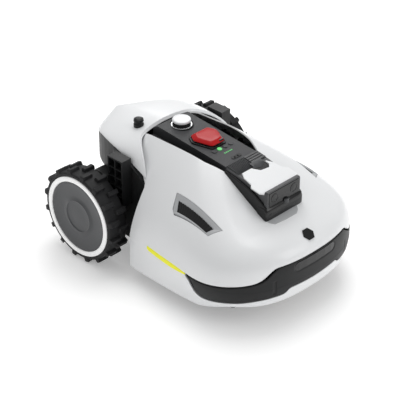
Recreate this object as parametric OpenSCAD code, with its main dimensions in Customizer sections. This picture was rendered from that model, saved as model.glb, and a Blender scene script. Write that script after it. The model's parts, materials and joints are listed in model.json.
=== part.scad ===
// Robotic lawn mower: two driven rear wheels, two front casters, a razor-blade
// cutting disc on a height-adjustable carrier, a moulded cover and a vision module.
// Frame: origin on the ground under the middle of the machine, +Z up,
// the nose points to -Y, and +X is the machine's left-hand side.

/* [Cover] */
// Widest half-width of the front cover
cover_half_w = 186; // [180:1:190]
// Distance from the widest station to the nose
cover_nose = 148.5; // [144:0.5:150]
// Y position of the widest station
cover_mid_y = -120; // [-124:1:-116]
// Exponent that rounds the cover's plan outline
cover_round = 2.45; // [2.2:0.05:2.6]
// Height of the widest line of the cover
waist_z = 88; // [84:1:92]
// Height the cover's section would reach on the centreline beside the console
crest_z = 291; // [286:0.5:294]
// Fall of the bonnet per millimetre towards the nose
bonnet_slope = 0.32; // [0.3:0.005:0.34]
// Wall thickness of the cover
cover_t = 3; // [2.5:0.5:4]

/* [Rear wheels] */
// Radius over the tread lugs
wheel_r = 98.8; // [98:0.1:99.5]
// Y position of the drive axle
axle_y = 168; // [166:1:170]
// Distance from the middle of the machine to the outer wheel face
wheel_face_x = 200; // [199:1:202]
// Width of the tyre
tyre_w = 46; // [42:1:48]
// Lugs in each of the two staggered rows
lugs = 16; // [12:1:18]

/* [Casters] */
// Sideways position of the swivel axis
caster_x = 100; // [97:1:102]
// Y position of the swivel axis
caster_y = -165; // [-167:1:-163]
// Distance from the swivel axis back to the wheel axle
caster_trail = 14; // [12:1:15]
// Radius of a caster wheel
caster_r = 26; // [24:1:27]

/* [Cutting] */
// Y position of the cutting spindle
spindle_y = -48; // [-50:1:-47]
// Radius to the blade tips
cut_r = 95; // [90:1:96]
// Travel of the height adjustment
height_travel = 45; // [30:1:45]

/* [Console] */
// Half-width of the console
console_hw = 41; // [40:0.5:42]
// Slope of the console's top in degrees
console_tilt = 4.9; // [4:0.1:6]
// Height of the console's top at Y = 0
console_z = 252.9; // [252:0.1:254]
// Y position of the height knob
knob_y = 80; // [78:1:82]

/* [Hidden] */
$fn = 48;
fit = 0.05; // radial running clearance
axle_z = wheel_r;
nose_y = cover_mid_y - cover_nose;
rear_edge_y = 52;  // rear edge of the cover's sides
deck_y = 56;       // rear edge of the chassis tub

// ---------- surface of the front cover ----------

// Half-width of the cover at station y, for a cover made smaller by s
function half_w(y, s = 0) =
    y > cover_mid_y
    ? cover_half_w - s - 16 * pow((y - cover_mid_y) / 172, 1.5)
    : (cover_half_w - s)
      * pow(max(0, 1 - pow((cover_mid_y - y) / (cover_nose - s), cover_round)), 1 / cover_round);

// Height of the crest line at station y, before the nose rolls down
function crest(y) =
    let (foot_y = -198, foot_z = 175, span = 240, t = min(1, (y - foot_y) / span))
    y < foot_y
    ? foot_z + bonnet_slope * (y - foot_y)
    : foot_z + (t * t * t - 2 * t * t + t) * 0.4 * span + (3 - 2 * t) * t * t * (crest_z - foot_z)
      - 0.0137 * pow(max(0, y - 90), 2);

// Share of the crest's height that is left where the nose rolls down
function nose_roll(y, s = 0) =
    let (roll_y = -215, u = (roll_y - y) / (roll_y - nose_y - s))
    y > roll_y ? 1 : pow(max(0, 1 - pow(u, 4)), 0.25);

// Exponent of the cross-section: full over the bonnet, straight-sided towards the rear
function fullness(y) = 1.46 + 2.14 * pow(min(1, max(0, (52 - y) / 250)), 1.9);

// Height of the cover's skin over the point (x, y)
function cover_z(x, y, s = 0) =
    let (w = half_w(y, s), n = fullness(y), r = w > 0 ? min(1, abs(x) / w) : 1)
    waist_z + (crest(y) - s - waist_z) * nose_roll(y, s) * pow(max(0, 1 - pow(r, n)), 1 / n);

// Height of the lower edge, which lifts towards the nose
function lower_z(y) = 27 + 25 * (y > -115 ? 0 : 0.5 - 0.5 * cos(180 * min(1, (-115 - y) / 110)));

// Sideways tuck of the skin below the waist
function tuck(y) = y > 40 ? 0 : 15 * min(1, (40 - y) / 160) - 9 * min(1, max(0, (-150 - y) / 100));

// Superellipse outline of the nose from the widest station on one side to the other
function nose_point(t, s = 0) =
    let (c = cos(t), v = sin(t), e = 2 / cover_round)
    [(cover_half_w - s) * sign(c) * pow(abs(c), e), cover_mid_y - (cover_nose - s) * pow(v, e)];

// Plan outline of the cover from the rear left, round the nose, to the rear right
function outline(s, rear_y, steps = 28) =
    let (side = [for (i = [0:5]) rear_y + (cover_mid_y - rear_y) * i / 6])
    concat(
        [for (y = side) [half_w(y, s), y]],
        [for (i = [0:steps]) nose_point(180 * i / steps, s)],
        [for (i = [5:-1:0]) [-half_w(side[i], s), side[i]]]
    );

// Closed skin of the cover, made smaller by s: rings from the lower edge up to the spine
module cover_body(s = 0, rear_y = 118, floor_drop = 0) {
    plan = outline(s, rear_y, 36);
    n = len(plan);
    rings = concat(
        [for (k = concat(floor_drop > 0 ? [-1] : [], [0, 0.3, 0.6, 1])) [for (p = plan)
            let (inset = tuck(p[1]) * pow(1 - max(0, k), 1.5), low = lower_z(p[1]),
                 f = 1 - inset / norm([p[0], min(0, p[1] - cover_mid_y)]),
                 y = p[1] < cover_mid_y ? cover_mid_y + (p[1] - cover_mid_y) * f : p[1])
            [p[0] * f, y, k < 0 ? low - floor_drop : low + (waist_z - low) * k]]],
        [for (a = [12:13:90]) [for (p = plan)
            let (c = a == 90 ? 0 : pow(cos(a), 0.8),
                 spine_y = p[1] > cover_mid_y ? p[1] : cover_mid_y + (p[1] - cover_mid_y) * 0.6,
                 x = p[0] * c, y = spine_y + (p[1] - spine_y) * c)
            [x, y, cover_z(x, y, s)]]]
    );
    rows = len(rings);
    skin = [for (j = [0:rows - 2]) for (i = [0:n - 2])
        each [[j * n + i, j * n + i + 1, (j + 1) * n + i],
              [(j + 1) * n + i, j * n + i + 1, (j + 1) * n + i + 1]]];
    base = concat([[(n + 1) / 2, (n - 1) / 2, (n - 3) / 2]], [for (i = [0:(n - 5) / 2])
        each [[n - 1 - i, n - 2 - i, i + 1], [n - 1 - i, i + 1, i]]]);
    rear = concat([for (j = [rows - 1:-1:0]) j * n + n - 1], [for (j = [0:rows - 2]) j * n]);
    polyhedron([for (r = rings) for (p = r) p], concat(skin, base, [rear]));
}

// Plan ring between two insets of the cover's outline, open at the rear
module outline_ring(outer, inner, rear_y) {
    inside = outline(inner, rear_y, 36);
    polygon(concat(outline(outer, rear_y, 36), [for (i = [len(inside) - 1:-1:0]) inside[i]]));
}

saddle_hw = 119;
saddle_rear = 264;

// Half-width of the saddle at station y, for a saddle made smaller by s
function saddle_w(y, s = 0) =
    let (u = min(1, max(0, (y - 45.3) / (saddle_rear - s - 45.3))))
    (saddle_hw - s) * pow(1 - pow(u, 2.67), 1 / 2.67);

// Lower edge of the saddle, which rises from the front corners and falls at the rear
function saddle_low(y) = y < 183 ? 230 - 0.002 * pow(183 - y, 2) : 230 - 0.00066 * pow(y - 183, 2.5);

// Height of the saddle's crest on the centreline
function saddle_top(y) = 260.5 - 0.19 * (y - 119) - 0.0035 * pow(max(0, y - 237), 2);

// Height of the saddle's skin at station y, over the share r of its half-width
function saddle_z(y, r, s = 0) =
    saddle_low(y) + (saddle_top(y) - s - saddle_low(y)) * pow(max(0, 1 - pow(r, 1.84)), 1 / 1.84);

// Front edge of the saddle: straight over the console, then forward down both sides
function saddle_edge(x) = 121 - max(0, abs(x) - 78) * 1.55;

// Rows of points over the saddle from its turned-down front lip to the rear
function saddle_rows(s, front) = [for (v = [0, 0.03, 0.2, 0.4, 0.6, 0.75, 0.86, 0.94, 0.98, 1])
    [for (a = [-90:9:90])
        let (start = saddle_edge(saddle_hw * sin(a)) + front,
             y = start + (saddle_rear - s - start) * v,
             lip = v == 0 ? 6 * cos(a) : 0)
        [saddle_w(y, s) * sin(a), y, saddle_z(y, abs(sin(a)), s) - lip]]];

// ---------- placing helpers ----------

// Draws its children and their mirror image on the other side
module both_sides() { children(); mirror([1, 0, 0]) children(); }

// Puts its children on one side of the machine: 1 for left (+X), -1 for right
module on_side(side) { mirror([side > 0 ? 0 : 1, 0, 0]) children(); }

// Local frame on the console's sloping top
module on_console(x = 0, y = 0) {
    translate([0, 0, console_z]) rotate([console_tilt, 0, 0]) translate([x, y, 0]) children();
}

// Local frame on the drive axle, with its z axis pointing outwards from station x
module on_axle(x) { translate([x, axle_y, axle_z]) rotate([0, 90, 0]) children(); }

// Prism of a side-view outline, given as [y, z] points, from x0 to x1
module side_prism(x0, x1) {
    translate([x0, 0, 0]) rotate([90, 0, 90]) linear_extrude(x1 - x0) children();
}

// ---------- chassis ----------

tub_inset = 19;
floor_z = 44;
well_r = cut_r + 6;
well_top = 88;
caster_pin_r = 6;
board_posts = [[-62, -100], [62, -100], [-62, 5], [62, 5]];
cover_posts = [[60, -208], [112, 30]];
screw_places = [for (x = [-125, 125]) for (y = [-90, -20, 40]) [x, y]];
bumper_pins_x = 60;

module chassis_tub() color("#202224") difference() {
    union() {
        translate([0, 0, floor_z]) linear_extrude(4) polygon(outline(tub_inset, deck_y, 36));
        translate([0, 0, floor_z]) linear_extrude(60)
            outline_ring(tub_inset, tub_inset + 3, deck_y);
        // Rear bulkhead that closes the cover off behind the wheels' front edge
        translate([0, rear_edge_y - 1, 0]) rotate([90, 0, 0]) linear_extrude(3) polygon(concat(
            [[163, floor_z], [163, 80]],
            [for (x = [163:-12.5:-163]) [x, min(228, cover_z(x, rear_edge_y, 6))]],
            [[-163, 80], [-163, floor_z]]));
        both_sides() {
            translate([caster_x, caster_y, floor_z]) cylinder(r = 49, h = 21);
            translate([caster_x, caster_y, floor_z]) cylinder(r = 14, h = 44);
            translate([bumper_pins_x, -249, 95]) rotate([-90, 0, 0]) cylinder(r = 6, h = 16);
            translate([bumper_pins_x - 6, -246, floor_z]) cube([12, 10, 50]);
            for (p = cover_posts) translate([p[0], p[1], floor_z])
                cylinder(r = 5, h = cover_z(p[0] + 5, p[1] - 5, cover_t + 0.2) - floor_z);
        }
    }
    // Mouth of the blade housing in the floor, and the housing's place in the bulkhead
    translate([0, spindle_y, floor_z - 1]) cylinder(r = well_r, h = 10);
    translate([0, spindle_y, floor_z + 4]) cylinder(r = well_r + 3.3, h = well_top - floor_z - 3.7);
    // Passage for the height arm and the wiring
    translate([-100, rear_edge_y - 10, 89]) cube([200, 20, 106]);
    both_sides() {
        translate([caster_x, caster_y, floor_z - 1]) cylinder(r = 46, h = 19);
        translate([caster_x, caster_y, floor_z - 1]) cylinder(r = 10, h = 60);
        translate([bumper_pins_x, -260, 95]) rotate([-90, 0, 0]) cylinder(r = 3 + fit, h = 40);
    }
    for (p = screw_places) translate([p[0], p[1], floor_z - 1]) {
        cylinder(r = 2.2, h = 10);
        cylinder(r = 4.3, h = 3.3);
    }
    both_sides() translate([23.5, -228.5, floor_z - 1]) cube([15, 13, 2.7]);
}

// Cup over the blades, standing on the floor of the tub, with the circuit board's posts on top
module blade_housing() color("#202224") difference() {
    union() {
        translate([0, spindle_y, floor_z + 4]) cylinder(r = well_r + 3, h = well_top - floor_z - 4);
        for (p = board_posts) translate([p[0], p[1], well_top - 3])
            cylinder(r = 4, h = 158 - well_top + 3);
    }
    translate([0, spindle_y, floor_z]) cylinder(r = well_r, h = well_top - floor_z - 3);
    translate([0, spindle_y, well_top - 10]) cylinder(r = 42 + 2 * fit, h = 20);
}

housing_hw = 124;
overhang_z = 163;
gearbox_r = 24;
battery = [[-85, 97, 136], [170, 58, 40]];

// Plan outline of the housing's overhang under the saddle, made smaller by s
module overhang_plan(s) {
    side = concat([[housing_hw, 50 - s], [housing_hw, 140]],
                  [for (y = [156, 174, 192, 208, 222, 234, 244, 252, 258, 262]) [saddle_w(y) - 1, y]]);
    offset(delta = -s) polygon(concat(side, [for (i = [len(side) - 1:-1:0]) [-side[i][0], side[i][1]]]));
}

// Overhang of the rear housing, made smaller by s, with its top just below the saddle's edge
module overhang(s = 0) intersection() {
    translate([0, 0, overhang_z + s]) linear_extrude(80) overhang_plan(s);
    side_prism(-housing_hw, housing_hw) polygon(concat(
        [[57 - 3 * s, overhang_z], [262.5, overhang_z]],
        [for (y = [262, 252, 240, 226, 208, 183, 150, 120, 92]) [y, saddle_low(y) - 1 - s]],
        [[75, 201 - s], [57 - 3 * s, 186 - s]]));
}

module rear_housing() color("#26282a") difference() {
    union() {
        difference() {
            union() {
                side_prism(-housing_hw, housing_hw)
                    polygon([[57, 48], [188, 48], [196, 58], [196, overhang_z], [57, overhang_z]]);
                overhang();
            }
            side_prism(-housing_hw + 3, housing_hw - 3)
                polygon([[50, 51], [187, 51], [193, 59], [193, overhang_z - 3], [50, overhang_z - 3]]);
            overhang(3);
            translate([-94, 50, overhang_z - 10]) cube([188, 138, 20]);
        }
        // Shelf for the battery and foot bearing of the height screw
        translate([-housing_hw + 3, 96, 133]) cube([2 * housing_hw - 6, 62, 3]);
        translate([0, knob_y, 51]) cylinder(r = 10, h = 35);
    }
    both_sides() on_axle(housing_hw - 10) cylinder(r = gearbox_r + 0.3, h = 20);
    translate([0, knob_y, 73]) cylinder(r = 6 + fit, h = 20);
    translate([0, knob_y, 180]) cylinder(r = 10, h = 60);
}

module battery_pack() color("#3a4a5a") translate(battery[0]) cube(battery[1]);

module main_board() color("#1f6b3a") {
    translate([-70, -106, 158]) cube([140, 118, 1.6]);
    translate([-30, -80, 159.6]) cube([24, 24, 3]);
    translate([15, -50, 159.6]) cube([30, 14, 9]);
}

module gearmotor(side) on_side(side) color("#55585c") difference() {
    union() {
        on_axle(104) cylinder(r = gearbox_r, h = 44);
        on_axle(46) cylinder(r = 18, h = 58);
    }
    on_axle(106) cylinder(r = 6 + fit, h = 50);
}

module bracket(side) on_side(side) color("#2b2d2f") difference() {
    translate([housing_hw, 91, 131]) cube([24, 40, 100]);
    // Two columns of weight-saving cells in the outer face
    for (i = [0:1]) for (j = [0:4])
        translate([housing_hw + 12, 93.5 + 18.5 * i, 134 + 19.2 * j]) cube([20, 16.5, 17.2]);
}

module caster_bushes() color("#c9b27a") both_sides()
    translate([caster_x, caster_y, 64]) difference() {
        cylinder(r = 9.98, h = 24);
        translate([0, 0, -1]) cylinder(r = caster_pin_r + fit, h = 30);
    }

module charge_contacts() color("#c8a24a") both_sides()
    translate([24, -228, floor_z + 0.2]) cube([14, 12, 1.5]);

module chassis_screws() color("#8a8d90") for (p = screw_places) translate([p[0], p[1], 0]) {
    translate([0, 0, floor_z + 0.2]) cylinder(r = 4, h = 2.1);
    translate([0, 0, floor_z + 1]) cylinder(r = 2, h = 7);
}

// ---------- cover and trim ----------

band_front = 1.5;     // how far the bumper stands proud of the cover
band_back = 5;        // inner face of the bumper
band_rear_y = -118;
band_low = [60, 100];
band_mid = [76, 129.5];
mid_hw = 88;

// Space of the bumper, grown by gap and reaching from inset a to inset b
module band_space(a, b, rear_y, gap) {
    difference() {
        translate([0, 0, band_low[0] - gap]) linear_extrude(band_low[1] - band_low[0] + 2 * gap)
            outline_ring(a, b, rear_y);
        translate([-64 + gap, -300, 0]) cube([128 - 2 * gap, 120, 200]);
    }
    intersection() {
        translate([0, 0, band_mid[0] - gap]) linear_extrude(band_mid[1] - band_mid[0] + 2 * gap)
            outline_ring(a, b, rear_y);
        translate([-mid_hw - gap, -300, 0]) cube([2 * mid_hw + 2 * gap, 120, 200]);
    }
}

// Side vent's outline in plan, for the left side
module vent_plan() polygon([[123, -31], [129, -154], [152, -139], [150, -50], [144, -40]]);

// Opening for the console, with bevelled upper edges, that narrows to the vision module
module console_plan() polygon([[-54, 130], [-54, -40], [-42.4, -108], [42.4, -108], [54, -40], [54, 130]]);
module console_opening() {
    translate([0, 0, 150]) linear_extrude(93) console_plan();
    hull() {
        translate([0, 0, 242.9]) linear_extrude(0.1) console_plan();
        translate([0, 0, 300]) linear_extrude(0.1) offset(delta = 34) console_plan();
    }
}

module stripe_outline() polygon([[-110, 97.5], [-97.5, 99.5], [-72, 101], [-3, 101.5], [-3, 95],
                                 [-9, 92.5], [-72, 90], [-97.5, 91.8], [-110, 94]]);

module front_cover() color("white") difference() {
    cover_body();
    cover_body(s = cover_t, rear_y = 119, floor_drop = 12);
    both_sides() translate([0, 0, 20]) linear_extrude(300)
        polygon([[66, 125], [66, 122], [80, 118], [118, 64], [122, 56], [128, rear_edge_y],
                 [250, rear_edge_y], [250, 125]]);
    console_opening();
    band_space(-6, 11, band_rear_y + 5.5, 1.2);
    both_sides() translate([0, 0, 120]) linear_extrude(150) vent_plan();
}

module vent_inserts() color("#1c1d1f") intersection() {
    difference() {
        cover_body(s = 4);
        cover_body(s = 7, rear_y = 119, floor_drop = 12);
    }
    both_sides() translate([0, 0, 120]) linear_extrude(150) offset(delta = -0.3) vent_plan();
}

module side_stripes() color("#e6d90a") both_sides() intersection() {
    linear_extrude(150) outline_ring(-0.8, 0, 118);
    side_prism(150, 200) stripe_outline();
}

module badge() color("#232527") {
    y = -247;
    lean = atan((cover_z(0, y + 2) - cover_z(0, y - 2)) / 4);
    translate([0, y, cover_z(0, y) + 0.2]) rotate([lean, 0, 0]) cylinder(r = 13, h = 1.4, $fn = 6);
}

module rear_saddle() color("white") difference() {
    outer = saddle_rows(0, 0);
    inner = saddle_rows(3, 3);
    n = len(outer[0]);
    m = len(outer);
    top = [for (j = [0:m - 2]) for (i = [0:n - 2])
        each [[j * n + i, (j + 1) * n + i, j * n + i + 1],
              [j * n + i + 1, (j + 1) * n + i, (j + 1) * n + i + 1]]];
    low = [for (f = top) [f[2] + n * m, f[1] + n * m, f[0] + n * m]];
    // Open edge of the two skins: the lower edge from the rear to the front, the lip, and back
    rim = concat([for (j = [m - 1:-1:1]) j * n], [for (i = [0:n - 1]) i],
                 [for (j = [1:m - 1]) j * n + n - 1]);
    side = [for (i = [0:len(rim) - 2])
        each [[rim[i], rim[i + 1], rim[i] + n * m], [rim[i + 1], rim[i + 1] + n * m, rim[i] + n * m]]];
    polyhedron([for (r = concat(outer, inner)) for (p = r) p], concat(top, low, side));
    translate([stub_x, stub_y, 200]) cylinder(r = 9.99, h = 100);
}

stub_x = -52;
stub_y = 145;

module antenna_stub() color("#1c1d1f")
    translate([stub_x, stub_y, saddle_z(stub_y, abs(stub_x) / saddle_w(stub_y))]) rotate_extrude()
        polygon([[0, -8], [10, -8], [10, 5], [8, 7], [8, 9], [10, 11], [9.4, 15], [6, 17], [0, 17.4]]);

// ---------- bumper ----------

module recess_outline(g = 0) hull() for (x = [-46, 46]) translate([x, 116.5]) circle(r = 10 - g);

module bumper_band() color("#1a1b1d") difference() {
    union() {
        band_space(-band_front, band_back, band_rear_y, 0);
        both_sides() translate([bumper_pins_x, -262, 95]) rotate([-90, 0, 0]) cylinder(r = 3, h = 30);
    }
    intersection() {
        translate([0, -240, 0]) rotate([90, 0, 0]) linear_extrude(40) recess_outline();
        linear_extrude(200) outline_ring(-6, 1.5, -200);
    }
}

module bumper_recess() color("#3b3e42") intersection() {
    translate([0, -240, 0]) rotate([90, 0, 0]) linear_extrude(40) recess_outline(0.6);
    linear_extrude(200) outline_ring(0.2, 1.5, -200);
}

// ---------- console ----------

console_front = -79;
console_rear = 117;
top_skin = 4.5;
stop_y = 14.5;
button_x = [-21, -7, 8, 23];
button_y = -28;

function console_top(y) = console_z + y * tan(console_tilt);

// Plan outline of the emergency stop: a blunt shield, grown by g
module stop_plan(g = 0) offset(delta = g)
    polygon([[-22, 18.5], [22, 18.5], [31, 2], [17, -34], [-17, -34], [-31, 2]]);

module console() color("#3a3c3f") difference() {
    union() {
        side_prism(-console_hw, console_hw) polygon([
            [console_rear, 254], [104, console_top(104)],
            [console_front, console_top(console_front)],
            [console_front, 207], [-20, 222], [40, 234], [console_rear, 235]]);
        // Flange that closes the gap beside the console
        side_prism(-52.5, 52.5) polygon([[-40, 228], [-40, 231], [116, 241], [116, 238]]);
    }
    side_prism(-console_hw + 2.5, console_hw - 2.5) polygon([
        [console_rear - 3, 249.5], [104, console_top(104) - top_skin],
        [console_front + 3, console_top(console_front) - top_skin],
        [console_front + 3, 190], [console_rear - 3, 190]]);
    translate([0, knob_y, console_top(knob_y) - 3.5]) cylinder(r = 22, h = 20);
    translate([0, knob_y, 240]) cylinder(r = 6 + fit, h = 30);
    on_console(0, stop_y) translate([0, 0, -20]) cylinder(r = 6 + fit, h = 30);
    for (x = button_x) on_console(x, button_y) translate([0, 0, -20]) cylinder(r = 5 + fit, h = 30);
}

module knob_bezel() color("silver") translate([0, knob_y, console_top(knob_y) - 3.5])
    difference() {
        cylinder(r = 21.5, h = 3.4);
        translate([0, 0, -1]) cylinder(r = 18.3, h = 6);
    }

module stop_base() color("#141516") on_console(0, stop_y) linear_extrude(4) difference() {
    translate([0, 8]) stop_plan(3);
    translate([0, 8]) stop_plan(0.8);
}

module status_lights() color("#38c060") for (i = [-2:2])
    on_console(4.5 * i, -44) cylinder(r = 1.4, h = 0.6);

module rain_sensor() color("#1c1d1f") on_console(0, -65) {
    linear_extrude(1) hull() for (x = [-8, 8]) translate([x, 0]) circle(r = 4.5);
    for (x = [-4, 4]) translate([x, 0, 1]) cylinder(r = 1.8, h = 1.4);
}

module height_knob() color("#222426") translate([0, knob_y, 0]) {
    translate([0, 0, 74]) cylinder(r = 6, h = 188);
    translate([0, 0, console_top(knob_y) - 3]) cylinder(r = 17.6, h = 269 - console_top(knob_y) + 3);
}

module knob_cap() color("#e8eaec") translate([0, knob_y, 269]) rotate_extrude()
    polygon([[0, 0], [17.8, 0], [18.2, 1], [18.2, 2.6], [17.2, 3.4], [0, 3.4]]);

module stop_button() color("#c8141c") on_console(0, stop_y) {
    translate([0, 8, 4.3]) hull() {
        linear_extrude(2.5) stop_plan();
        translate([0, -1.5, 7.2]) linear_extrude(0.4) scale([0.62, 0.58]) stop_plan();
    }
    translate([0, 0, -16]) cylinder(r = 6, h = 20.4);
}

module panel_button(i) color(i == 1 ? "#38c060" : "#2a2c2e")
    on_console(button_x[i], button_y) translate([0, 0, -8]) cylinder(r = 5, h = 9.2);

// ---------- vision module ----------

pod_hw = 42;
pod_rear = -79.6;
pod_front = -182;

function pod_top(y) = 242.4 + (y + 103) * 0.105;

module camera_housing() color("#1f2123") difference() {
    side_prism(-pod_hw, pod_hw) polygon([
        [pod_rear, 240], [-103, 240], [-103, pod_top(-103)], [pod_front, pod_top(pod_front)],
        [pod_front, crest(pod_front) + 0.4], [-108.4, crest(-108.4) + 0.4], [-107.6, 222],
        [pod_rear, 222]]);
    side_prism(-pod_hw + 3, pod_hw - 3) polygon([
        [pod_rear - 3, 237], [-106, 237], [pod_front - 5, pod_top(pod_front) - 3],
        [pod_front - 5, 205], [pod_front + 14, 205], [-112, 231], [-104, 226], [pod_rear - 3, 226]]);
}

module heat_sink() color("#2d2f31") {
    translate([-pod_hw, -102.8, 240]) cube([2 * pod_hw, 23.2, 2]);
    for (i = [0:10]) translate([-pod_hw + 8.1 * i, -102.8, 242]) cube([3, 23.2, 4.5]);
}

module camera_top() color("#f2f3f4") side_prism(-pod_hw + 1, pod_hw - 1) polygon([
    [-103.2, pod_top(-103.2)], [-180, pod_top(-180)], [-180, pod_top(-180) + 1.5],
    [-103.2, pod_top(-103.2) + 2]]);

module camera_window() color("#08090a") translate([-39.5, pod_front - 2.5, 205.2])
    cube([79, 2.5, 28.5]);

module camera_lenses() color("#101820") for (x = [-26, 26])
    translate([x, -181.5, 219.5]) rotate([-90, 0, 0]) cylinder(r = 8, h = 14);

module camera_chin() color("#1a1b1d") side_prism(-49, 49) polygon([
    [pod_front - 0.2, 204.6], [-187, 204.6], [-190, 199], [-190, crest(-190) + 0.4],
    [pod_front - 0.2, crest(pod_front) + 0.4]]);

// ---------- drive wheels ----------

module tyre(side) on_side(side) color("#1b1c1e") on_axle(0) {
    in_x = wheel_face_x - 2 - tyre_w;
    rotate_extrude() polygon([[84.4, in_x], [90, in_x], [92.5, in_x + 4], [92.5, in_x + tyre_w - 4],
                              [90, in_x + tyre_w], [84.4, in_x + tyre_w]]);
    intersection() {
        translate([0, 0, in_x]) difference() {
            cylinder(r = wheel_r, h = tyre_w);
            translate([0, 0, -1]) cylinder(r = 91, h = tyre_w + 2);
        }
        for (row = [0:1]) for (i = [0:lugs - 1])
            rotate([0, 0, (i + 0.35 * row) * 360 / lugs - 2.6])
                translate([86, -6.5, in_x + (1 - row) * 0.5 * tyre_w])
                    cube([20, 13, tyre_w / 2 + (row == 0 ? 0 : 2)]);
    }
}

module rim(side) on_side(side) color("#26282a") on_axle(0) difference() {
    union() {
        translate([0, 0, 154]) cylinder(r = 84.1, h = 40);
        translate([0, 0, 150]) cylinder(r = 20, h = 10);
        translate([0, 0, 108]) cylinder(r = 6, h = 50);
    }
    translate([0, 0, 186]) cylinder(r = 78, h = 20);
    translate([0, 0, 150]) difference() {
        cylinder(r = 78, h = 26);
        cylinder(r = 20, h = 40);
    }
}

module trim_ring(side) on_side(side) color("#e9ebec") on_axle(194) difference() {
    cylinder(r = 84, h = 6);
    translate([0, 0, -1]) cylinder(r = 73.4, h = 8);
}

module wheel_cap(side) on_side(side) color("#4a4d50") on_axle(186) rotate_extrude()
    polygon([[0, 0], [73.1, 0], [73.1, 11], [70, 11.6], [52, 10], [40, 8], [34, 9.5], [30, 11], [0, 11.6]]);

// ---------- casters ----------

module on_caster(side) on_side(side) translate([caster_x, caster_y, 0]) children();

module fork(side) on_caster(side) color("#2b2d2f") difference() {
    union() {
        translate([0, 0, 56]) cylinder(r = 17, h = 5);
        translate([0, 0, 60]) cylinder(r = caster_pin_r, h = 27);
        for (x = [-14.5, 11.5]) side_prism(x, x + 3) union() {
            polygon([[-8, 58], [8, 58], [caster_trail + 7, caster_r], [caster_trail - 7, caster_r]]);
            translate([caster_trail, caster_r]) circle(r = 7.2);
        }
    }
    translate([-20, caster_trail, caster_r]) rotate([0, 90, 0]) cylinder(r = 3, h = 40);
}

module caster_wheel(side) on_caster(side) color("#232527")
    translate([-10, caster_trail, caster_r]) rotate([0, 90, 0]) difference() {
        rotate_extrude() polygon([[0, 0], [22, 0], [25, 2], [caster_r, 6], [caster_r, 14], [25, 18],
                                  [22, 20], [0, 20]]);
        translate([0, 0, -1]) cylinder(r = 3 + fit, h = 22);
    }

module caster_axle(side) on_caster(side) color("silver")
    translate([-15.5, caster_trail, caster_r]) rotate([0, 90, 0]) cylinder(r = 2.99, h = 31);

// ---------- cutting gear ----------

disc_z = 66;
blade_pivot_r = cut_r - 25;

module deck_carrier() color("#303335") difference() {
    union() {
        translate([0, spindle_y, 76]) cylinder(r = 42, h = 68);
        translate([-10, spindle_y + 38, 136]) cube([20, knob_y - spindle_y - 38, 8]);
        translate([0, knob_y, 136]) cylinder(r = 13, h = 8);
    }
    translate([0, spindle_y, 80]) cylinder(r = 31, h = 70);
    translate([0, spindle_y, 70]) cylinder(r = 12, h = 20);
    translate([0, knob_y, 130]) cylinder(r = 6 + fit, h = 20);
}

module cutter_motor() color("#6b6e72") translate([0, spindle_y, 80]) difference() {
    cylinder(r = 30.7, h = 56);
    translate([0, 0, -1]) cylinder(r = 4 + fit, h = 40);
}

module cutter_disc() color("#2a2c2e") translate([0, spindle_y, 0]) difference() {
    union() {
        translate([0, 0, disc_z]) cylinder(r = 78, h = 4);
        translate([0, 0, disc_z]) cylinder(r = 11, h = 11);
        translate([0, 0, disc_z]) cylinder(r = 4, h = 50);
        translate([0, 0, 57]) cylinder(r = 5, h = 10);
    }
    for (a = [90, 210, 330]) rotate([0, 0, a]) translate([blade_pivot_r, 0, disc_z - 1])
        cylinder(r = 2.7, h = 6);
}

module blade_screws() color("silver") translate([0, spindle_y, 0]) for (a = [90, 210, 330])
    rotate([0, 0, a]) translate([blade_pivot_r, 0, 0]) {
        translate([0, 0, 62]) cylinder(r = 5, h = 2);
        translate([0, 0, 63]) cylinder(r = 2.5, h = 7);
    }

module blade(i) color("#b8bcc0") translate([0, spindle_y, 64.4]) rotate([0, 0, 90 + 120 * i])
    translate([blade_pivot_r, 0, 0]) linear_extrude(1.2) difference() {
        polygon([[-8, -8], [22, -8], [25, -5], [25, 5], [22, 8], [-8, 8]]);
        circle(r = 2.5 + fit);
    }

module skid_plate() color("#3a3c3f") translate([0, spindle_y, 57.5]) rotate_extrude()
    polygon([[5 + fit, 0], [30, 0], [40, 3], [40, 4.4], [28, 2.6], [5 + fit, 2.6]]);

chassis_tub();
blade_housing();
rear_housing();
front_cover();
rear_saddle();
bumper_band();
bumper_recess();
console();
camera_housing();
heat_sink();
camera_top();
camera_window();
camera_lenses();
camera_chin();
vent_inserts();
side_stripes();
badge();
knob_bezel();
stop_base();
status_lights();
rain_sensor();
antenna_stub();
battery_pack();
main_board();
gearmotor(1);  // left_gearmotor
gearmotor(-1);  // right_gearmotor
bracket(1);  // left_bracket
bracket(-1);  // right_bracket
caster_bushes();
charge_contacts();
chassis_screws();
tyre(1);  // left_tyre
rim(1);  // left_rim
trim_ring(1);  // left_ring
wheel_cap(1);  // left_cap
tyre(-1);  // right_tyre
rim(-1);  // right_rim
trim_ring(-1);  // right_ring
wheel_cap(-1);  // right_cap
fork(1);  // left_fork
caster_wheel(1);  // left_caster_wheel
caster_axle(1);  // left_caster_axle
fork(-1);  // right_fork
caster_wheel(-1);  // right_caster_wheel
caster_axle(-1);  // right_caster_axle
deck_carrier();
cutter_motor();
cutter_disc();
blade_screws();
blade(0);  // blade_1
blade(1);  // blade_2
blade(2);  // blade_3
skid_plate();
height_knob();
knob_cap();
stop_button();
panel_button(0);  // power_button
panel_button(1);  // home_button
panel_button(2);  // start_button
panel_button(3);  // lock_button
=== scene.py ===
import json
import math

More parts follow.
